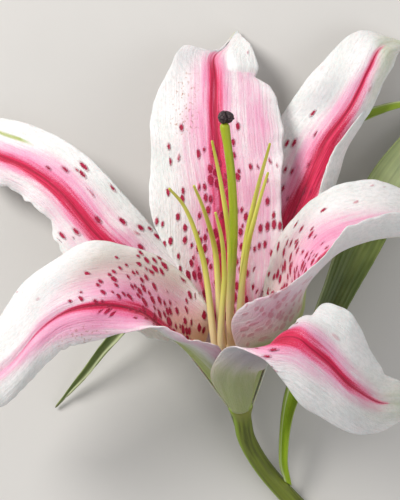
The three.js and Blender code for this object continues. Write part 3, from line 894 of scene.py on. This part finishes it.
LOOKS["inner_tepal_right"] = dict(
    wave=(0.6, 0.5),
    frill=(0.1, 0.35),
    closeness=(1.5, 1.55),
    lean=12,
    face=dict(
        stripe=[[(0.12, 0, 2, 0), (0.3, 0, 1.8, 0.8), (0.8, 0, 1.4, 0.8), (1, 0, 1, 0)]],
        flush=[
            [(0.07, 0, 6, 0), (0.13, 0, 6, 0.8), (0.22, -3, 12, 0.8), (0.35, -6, 16, 0.75),
             (0.5, -5, 13, 0.85), (0.75, -3, 9, 0.6), (1, 0, 7, 0.1)],
            [(0.15, -9, 7, 0), (0.25, -13, 8, 0.45), (0.42, -17, 8, 0.4), (0.55, -15, 7, 0)],
        ],
        # Painted shade on the left margin.
        painted_shade=[[(0.15, -12, 6, 0), (0.25, -14, 8, 0.3), (0.4, -17, 7, 0.25), (0.55, -16, 6, 0)]],
        spots=[[(0.09, 0, 4, 0), (0.14, -1, 5, 1), (0.2, -2, 9, 1), (0.3, -6, 18, 1),
                (0.44, -8, 14, 1), (0.55, -9, 11, 0.6), (0.66, -9, 8, 0)]],
        spot_size=[everywhere((0.1, 0.44), (0.38, 0.36), (0.5, 0.3), (0.7, 0.2))],
        base=[
            [(0, 0, 12, 0.8), (0.18, 0, 10, 0.4), (0.28, 0, 9, 0)],
            # Beige that belongs to the painted shade on the left margin.
            [(0.15, -10, 8, 0), (0.25, -14, 8, 0.3), (0.4, -17, 7, 0.2), (0.55, -16, 6, 0)],
        ],
    ),
    back=dict(
        flush=[[(0.1, 14, 9, 0.4), (0.36, 15, 13, 0.5), (0.5, 12, 11, 0.25), (0.7, 10, 10, 0.1),
                (1, 5, 6, 0)]],
        green=[[(0, 0, 9, 0.9), (0.25, 0, 8, 0.9), (0.42, 0, 4.5, 0.7), (1, 0, 2.5, 0.3)]],
        # Painted shade on the outside.
        painted_shade=[[(0.1, 10, 14, 0.5), (0.36, 14, 14, 0.5), (0.5, 12, 12, 0.35), (0.7, 6, 10, 0.12),
               (1, 5, 6, 0)]],
        spots=[[(0.14, 8, 6, 0), (0.22, 11, 7, 0.9), (0.42, 14, 10, 0.9), (0.5, 14, 6, 0)]],
        spot_size=[everywhere((0, 0.42), (1, 0.36))],
        veil=[everywhere((0, 0.72), (1, 0.72))],
        base=[[(0.1, 6, 10, 0.7), (0.35, 4, 9, 0.6), (0.5, 4, 6, 0)]],
    ),
)
LOOKS["outer_tepal_front"] = dict(
    wave=(1.5, 0.3),
    frill=(0.5, 0.15),
    nicks=[(-1, 0.52, 1.6, 0.012), (-1, 0.60, 1.3, 0.012), (-1, 0.68, 0.9, 0.016)],
    face=dict(
        stripe=[[(0.22, 0, 1.8, 0), (0.32, 0, 3, 1), (0.45, 0, 4, 1.15), (0.62, 0, 3.2, 1.15),
                 (0.74, 0, 2.1, 1), (0.84, 0, 1, 0.8), (0.9, 0, 0.8, 0)]],
        flush=[[(0.14, 0, 6, 0), (0.3, 0, 9, 0.9), (0.5, 0, 9, 0.9), (0.7, 0, 7, 0.85),
                (0.84, 0, 4, 0.5), (0.93, 0, 3, 0)]],
        spots=[
            [(0.14, 3, 6, 0), (0.3, 6, 9, 0.7), (0.44, 9, 7, 0.6), (0.55, 9, 5, 0)],
            [(0.14, -3, 5, 0), (0.3, -6, 5, 0.7), (0.46, -8, 5, 0.5), (0.54, -9, 4, 0)],
        ],
        spot_size=[everywhere((0, 0.22), (1, 0.18))],
        green=[[(0.5, 0, 26, 0.1), (0.75, 0, 20, 0.2), (0.92, 0, 14, 0.4), (1, 0, 9, 0.5)]],
        # Painted shade: a light grey over the whole face.
        painted_shade=[[(0.4, 0, 26, 0.1), (1, 0, 24, 0.2)]],
    ),
    back=dict(
        flush=[[(0.1, 0, 12, 0.1), (0.3, 0, 14, 0.4), (0.6, 0, 14, 0.4), (1, 0, 9, 0.2)]],
        green=[[(0, 0, 16, 1), (0.1, 0, 14, 0.75), (0.16, 0, 10, 0.45), (0.24, 0, 4, 0.2), (1, 0, 3, 0.3)]],
        base=[[(0, 0, 16, 0.5), (0.08, 0, 16, 0.8), (0.16, 0, 14, 0.5), (0.26, 0, 14, 0)]],
        # Painted shadow over the outside, darkest about a quarter of the way up.
        painted_shade=[[(0, 0, 24, 0.45), (0.12, 0, 24, 0.5), (0.19, 0, 24, 0.75), (0.26, 0, 22, 1),
               (0.45, 0, 20, 0.7), (0.7, 0, 20, 0.3)]],
    ),
)

TEPAL_MATERIALS = {slot: tepal_material(slot) for slot in ("inner_tepal", "outer_tepal")}
for seed, (name, tepal) in enumerate(TEPALS.items(), start=1):
    slot = "inner_tepal" if name.startswith("inner") else "outer_tepal"
    skin = TEPAL_MATERIALS[slot]
    blade(name, rows_of(**tepal), LOOKS[name], skin, slot, TEPAL_THICKNESS, TEPAL_GROOVE, seed)

LEAVES = {}
LEAVES["bract_leaf"] = dict(
    rows=[
        [[30.9, -81.7, 6.8], [29.3, -80.7, 7.5], [32.3, -82.7, 5.8]],
        [[28.8, -72, 11.6], [27.4, -72, 13.4], [30.6, -72, 13.2]],
        [[30.5, -54, 15], [28.8, -51, 17.5], [33.4, -54.5, 17]],
        [[39, -34, 16], [35, -32.5, 17.5], [43, -36.5, 17.5]],
        [[46, -17, 15.5], [41.5, -15, 17], [51.5, -20, 16]],
        [[55, 2, 14], [48.5, 5, 15], [62.5, -1, 14]],
        [[65, 20, 11], [58, 25, 12], [71, 15, 11]],
        [[75, 34, 7.5], [70, 40, 8.5], [80, 28, 7.5]],
        [[86, 46, 4], [82, 50, 5], [89, 42, 4]],
    ],
    tip=[95, 54, 1.2],
    look=dict(
        green=[[(0, 0, 4, 0.9), (0.25, 0, 4, 0.9), (0.42, 1, 3, 0)]],
        # Painted shade: a dark band across the middle of the blade.
        painted_shade=[[(0.3, 0, 5, 0), (0.42, 0, 6, 0.75), (0.52, 0, 6, 0.4), (0.62, 0, 7, 0)]],
        base=[
            [(0.02, -1.4, 0.5, 0.7), (0.14, -1.5, 0.5, 0.8), (0.25, -2.6, 0.6, 0.8),
             (0.4, -4.6, 0.8, 0.5), (0.6, -8, 1, 0.3), (1, -4, 1, 0.2)],
            # Painted light: the upper part of the blade made paler, as if lit.
            [(0.58, 0, 8, 0), (0.7, 0, 9, 0.4), (1, 0, 6, 0.35)],
        ],
    ),
)
LEAVES["narrow_leaf_left"] = dict(
    rows=[
        [[13.8, -62.6, 12], [12.7, -63.4, 13], [15.2, -62.2, 11.7]],
        [[8, -43, 13.5], [5.5, -43.5, 14.6], [10, -42, 14.6]],
        [[1, -30, 14], [-1.6, -31.5, 15], [3, -28.5, 15]],
        [[-9, -20, 14.5], [-10.5, -22, 15.2], [-8, -17.6, 15.2]],
        [[-20, -21, 14], [-19.4, -23.4, 14.4], [-21, -18.6, 14.4]],
        [[-31, -31.5, 11], [-29.6, -33, 11.6], [-32.6, -30.2, 11.6]],
        [[-41, -44, 6], [-40, -44.8, 6.5], [-42, -43.2, 6.5]],
    ],
    tip=[-51, -55.5, 1.4],
    look=dict(
        # Painted shade darkens the whole blade.
        painted_shade=[[(0, 0, 5, 0.5), (0.6, 0, 4, 0.6), (1, 0, 3, 0.5)]],
        # Painted highlight: a pale line along one margin.
        base=[[(0.4, -2.4, 0.6, 0.6), (0.7, -1.6, 0.6, 0.8), (1, -0.6, 0.4, 0.7)]],
    ),
)
LEAVES["narrow_leaf_right"] = dict(
    rows=[
        [[17.4, -65.2, 9.5], [16.2, -65.5, 9.6], [18.6, -65.4, 9.9]],
        [[16.2, -52, 9.2], [14.6, -52, 9.8], [17.8, -52, 9.8]],
        [[18, -38, 9.5], [15.4, -38, 10.4], [20.6, -38, 10.4]],
        [[22, -14, 9], [19, -13, 10], [25, -15, 10]],
        [[29, 12, 9.5], [26, 13.6, 10.4], [32, 10.6, 10.4]],
        [[38, 34, 10], [35.8, 36.2, 10.6], [40.6, 32.2, 10.8]],
        [[48, 43, 10.3], [46.6, 45.4, 10.8], [49.6, 40.8, 11]],
        [[59, 47.6, 10.6], [58.4, 49.4, 11], [59.6, 45.8, 11.2]],
        [[69, 50.6, 11], [69, 51.8, 11.2], [69.4, 49.5, 11.4]],
    ],
    tip=[79, 51, 12],
    look=dict(
        green=[[(0.5, 0, 3, 0), (0.7, 0, 3, 0.6), (1, 0, 3, 0.6)]],
        base=[[(0.5, -2.8, 0.7, 0.6), (0.8, -2, 0.6, 0.7), (1, -0.6, 0.5, 0.5)]],
    ),
)
LEAF_BACK = dict(base=[[(0, 0, 30, 0.25), (1, 0, 30, 0.2)]])
leaf_skin = leaf_material()
for seed, (name, leaf) in enumerate(LEAVES.items(), start=11):
    look = dict(face=leaf["look"], back=LEAF_BACK, wave=(0.3, 0.3), frill=(0.05, 0.05))
    rows = rows_of(leaf["rows"], leaf["tip"])
    blade(name, rows, look, leaf_skin, "leaf", LEAF_THICKNESS, LEAF_GROOVE, seed, steps=(40, 150))

# Six bare filaments: thin where they stand on the receptacle, pointed where the anthers were.
FILAMENTS = [
    (-90, [[5, -32, 42], [1, -3, 50], [-5, 14, 57], [-10, 20, 62]]),
    (-30, [[7, -25, 38], [5, 0, 42], [1, 14, 52], [-2, 21, 58]]),
    (30, [[10.5, -23, 37], [10, 2, 41], [7, 22, 45], [4, 36, 50]]),
    (-150, [[7, -31, 46], [8, -8, 57], [7, 4, 64], [5, 12, 70]]),
    (90, [[14, -23, 38], [15, 0, 44], [18, 16, 49], [23, 35, 54]]),
    (150, [[13, -27, 45], [15, -3, 52], [18, 11, 60], [22, 25, 66]]),
]
FILAMENT_RING = (2.2, 4.4)
FILAMENT_HEIGHTS = (0.4, 11.0)
FILAMENT_FOOT, FILAMENT_FULL, FILAMENT_POINT = 0.5, 1.2, 0.4  # radii
FILAMENT_FULL_AT = 0.12  # share of the length


def filament_radius(share, turn):
    widening = np.minimum(1, share / FILAMENT_FULL_AT)
    taper = np.clip((share - FILAMENT_FULL_AT) / (1 - FILAMENT_FULL_AT), 0, 1) ** 2
    radius = FILAMENT_FOOT + (FILAMENT_FULL - FILAMENT_FOOT) * widening
    radius -= (FILAMENT_FULL - FILAMENT_POINT) * taper
    return radius * (1 + 0.06 * np.cos(2 * turn) + 0.02 * np.sin(40 * share + turn))


filament_skin = stalk_material("filament", "#d5d064", "#b2b22c", "#ecd8b0", (0.3, 0.68))
for i, (degrees, path) in enumerate(FILAMENTS, start=1):
    feet = [around_axis(h, r, degrees) for h, r in zip(FILAMENT_HEIGHTS, FILAMENT_RING)]
    name = f"filament_{i}"
    rod(name, feet + path, filament_radius, filament_skin, "filament", sides=20, steps=120)

# The pistil: a six-ribbed ovary that goes over into a three-sided style, wider at its end.
OVARY_SHARE = 0.25
OVARY_RADIUS, STYLE_RADIUS, END_RADIUS = 2.55, 1.4, 1.62
STYLE = [
    around_axis(0.4, 0, 0),
    around_axis(26, 0, 0),
    [10, -19, 46],
    [11, 8, 57],
    [10, 26, 62],
    [8, 40, 65.4],
]


def pistil_radius(share, turn):
    bulge = np.sqrt(np.sin(math.pi * np.clip(share / OVARY_SHARE, 0, 1)))
    flare = (END_RADIUS - STYLE_RADIUS) * smooth(0.94, 1, share)
    ribs = 1 + 0.07 * np.cos(6 * turn) * bulge + 0.025 * np.cos(3 * turn) * (1 - bulge)
    return (STYLE_RADIUS + (OVARY_RADIUS - STYLE_RADIUS) * bulge + flare) * ribs


style_skin = stalk_material("style", "#a6b01c", "#83960c", "#e2caa0", (0.3, 0.62))
rod("pistil", STYLE, pistil_radius, style_skin, "style", sides=36, steps=220)

STIGMA_MIDDLE = np.array([8, 43, 66])
STIGMA_RADIUS = 3.05
STIGMA_FLATNESS = 0.72  # its height as a share of its width
STIGMA_TILT = 0.25  # radians
STIGMA_RINGS, STIGMA_SIDES = 72, 108


def stigma():
    """Three fleshy lobes, parted by grooves that meet in the middle of the top."""
    polar, turn = np.meshgrid(
        np.linspace(0.02, math.pi - 0.02, STIGMA_RINGS),
        np.linspace(0, 2 * math.pi, STIGMA_SIDES, endpoint=False),
        indexing="ij",
    )
    lobes = 0.83 + 0.17 * np.cos(3 * turn)
    off_lobe = (turn * 3 / (2 * math.pi) + 0.5) % 1 - 0.5
    groove = np.exp(-(((np.abs(off_lobe) - 0.5) / 0.11) ** 2))
    rng = random.Random(31)
    pebble = np.zeros_like(turn)
    for _ in range(7):
        a, b = rng.randint(6, 15), rng.randint(7, 16)
        pebble += np.sin(a * turn + 6 * rng.random()) * np.sin(b * polar + 6 * rng.random())
    radius = STIGMA_RADIUS * lobes * (1 - 0.24 * groove * np.sin(polar) ** 0.5)
    radius += 0.05 * pebble * np.sin(polar)
    x = radius * np.sin(polar) * np.cos(turn)
    z = radius * np.sin(polar) * np.sin(turn)
    y = STIGMA_FLATNESS * radius * np.cos(polar) - 0.5 * groove * np.clip(np.cos(polar), 0, 1)
    cos, sin = math.cos(STIGMA_TILT), math.sin(STIGMA_TILT)
    p = np.stack([x, y * cos - z * sin, y * sin + z * cos], -1).reshape(-1, 3) + STIGMA_MIDDLE
    faces = tube_faces(STIGMA_RINGS, STIGMA_SIDES)
    attributes = {"blade": p - p.mean(0)}
    add_object("stigma", p, faces, attributes, stigma_material(), "stigma")


stigma()

# The stem: swollen receptacle, thin stalk, thicker stem with leaf scars, and a slanted cut.
STEM = [
    RECEPTACLE,
    around_axis(-6, 0, 0),
    [16, -65, 14.5],
    [19.5, -72, 9.6],
    [24, -78.5, 6],
    [30.5, -86, 4.2],
    [40, -96, 4.1],
    [66, -124, 4.4],
    [96, -160, 4.4],
]
STEM_STEPS = 360
STALK_RADIUS, STEM_RADIUS = 3.1, 4.0
STALK_ENDS = (0.3, 0.55)  # shares of the length between which it thickens
RECEPTACLE_SWELLING = 1.2
RECEPTACLE_SHARE = 0.03
SCARS = [(0.52, 0.6), (0.66, 2.9), (0.8, 5.0), (0.91, 1.4)]  # share of the length, turn
SCAR_KNOB = (0.28, 0.006, 0.75)  # height, half length as a share, half width in radians
CLASP_KNOB = (0.6, 0.011, 0.5)


def clasp_of(leaf):
    """Where a leaf's foot stands on the stem: share of the stem's length, and turn."""
    centres, _ = smooth_curve(STEM, STEM_STEPS)
    _, side, up = frames_along(centres)
    away = np.array(leaf["rows"][0][0]) - centres
    at = np.linalg.norm(away, axis=1).argmin()
    return at / STEM_STEPS, math.atan2(away[at] @ up[at], away[at] @ side[at])


KNOBS = [(place, SCAR_KNOB) for place in SCARS]
KNOBS += [(clasp_of(leaf), CLASP_KNOB) for leaf in LEAVES.values()]


def stem_radius(share, turn):
    swelling = np.clip(1 - share / RECEPTACLE_SHARE, 0, 1) ** 1.3
    girth = STALK_RADIUS + (STEM_RADIUS - STALK_RADIUS) * smooth(*STALK_ENDS, share)
    ridges = 0.05 * np.cos(9 * turn + 3 * share) + 0.05 * np.sin(5 * turn - 14 * share)
    radius = girth + RECEPTACLE_SWELLING * swelling + ridges
    for (at, facing), (height, length, spread) in KNOBS:
        beside = np.angle(np.exp(1j * (turn - facing)))
        radius += height * np.exp(-(((share - at) / length) ** 2) - (beside / spread) ** 2)
    return radius


stem_skin = stalk_material(
    "stem", "#707c24", "#4b5216", "#7f8436", (0.0, 0.05), painted_lit_side_and_pith
)
rod("stem", STEM, stem_radius, stem_skin, "stem", 48, STEM_STEPS, lean=0.9, cut=True)


# ---------------- floor, light and camera
KEY_FROM = np.array([-0.75, 0.6, 0.8])  # metres from the bloom
FILL_FROM = np.array([0.9, -0.3, 0.8])
CAMERA_HEIGHT = 800


def floor():
    half = 3.0
    mesh = bpy.data.meshes.new("floor")
    corners = [(-half, -half, 0), (half, -half, 0), (half, half, 0), (-half, half, 0)]
    mesh.from_pydata(corners, [], [(0, 1, 2, 3)])
    s = Shade("floor")
    grain = s.add("ShaderNodeTexNoise", {"Scale": 180.0, "Detail": 3.0}, "Fac")
    base = s.mix(grain, colour("#cfccc8"), colour("#d4d1cd"))
    mesh.materials.append(s.finish(base, s.plus(0.7, s.times(grain, 0.1)), s.bump(grain, 0.0001)))
    piece = bpy.data.objects.new("floor", mesh)
    bpy.context.scene.collection.objects.link(piece)


def soft_light(name, place, aim, size, watts, tint):
    lamp = bpy.data.lights.new(name, "AREA")
    lamp.shape = "DISK"
    lamp.size = size
    lamp.energy = watts
    lamp.color = tint
    piece = bpy.data.objects.new(name, lamp)
    piece.location = place
    piece.rotation_euler = (Vector(aim) - Vector(place)).to_track_quat("-Z", "Y").to_euler()
    bpy.context.scene.collection.objects.link(piece)


floor()
bloom = placed([0, 0, 45])
soft_light("key", bloom + KEY_FROM, bloom, size=0.55, watts=14.5, tint=(1.0, 0.985, 0.96))
soft_light("fill", bloom + FILL_FROM, bloom, size=1.2, watts=3.5, tint=(0.98, 0.99, 1.0))

world = bpy.data.worlds.new("sky")
bpy.context.scene.world = world
world.use_nodes = True
sky = world.node_tree.nodes["Background"]
sky.inputs["Color"].default_value = (0.97, 0.98, 1.0, 1.0)
sky.inputs["Strength"].default_value = 0.45
bpy.context.scene.view_settings.view_transform = "Standard"

# The camera looks straight down at the bloom, which runs past its frame.
lens = bpy.data.cameras.new("camera")
lens.lens = 163.06
lens.sensor_width = 36.0
lens.clip_start = 0.01
camera = bpy.data.objects.new("camera", lens)
camera.location = placed([0, 0, CAMERA_HEIGHT])
bpy.context.scene.collection.objects.link(camera)
bpy.context.scene.camera = camera
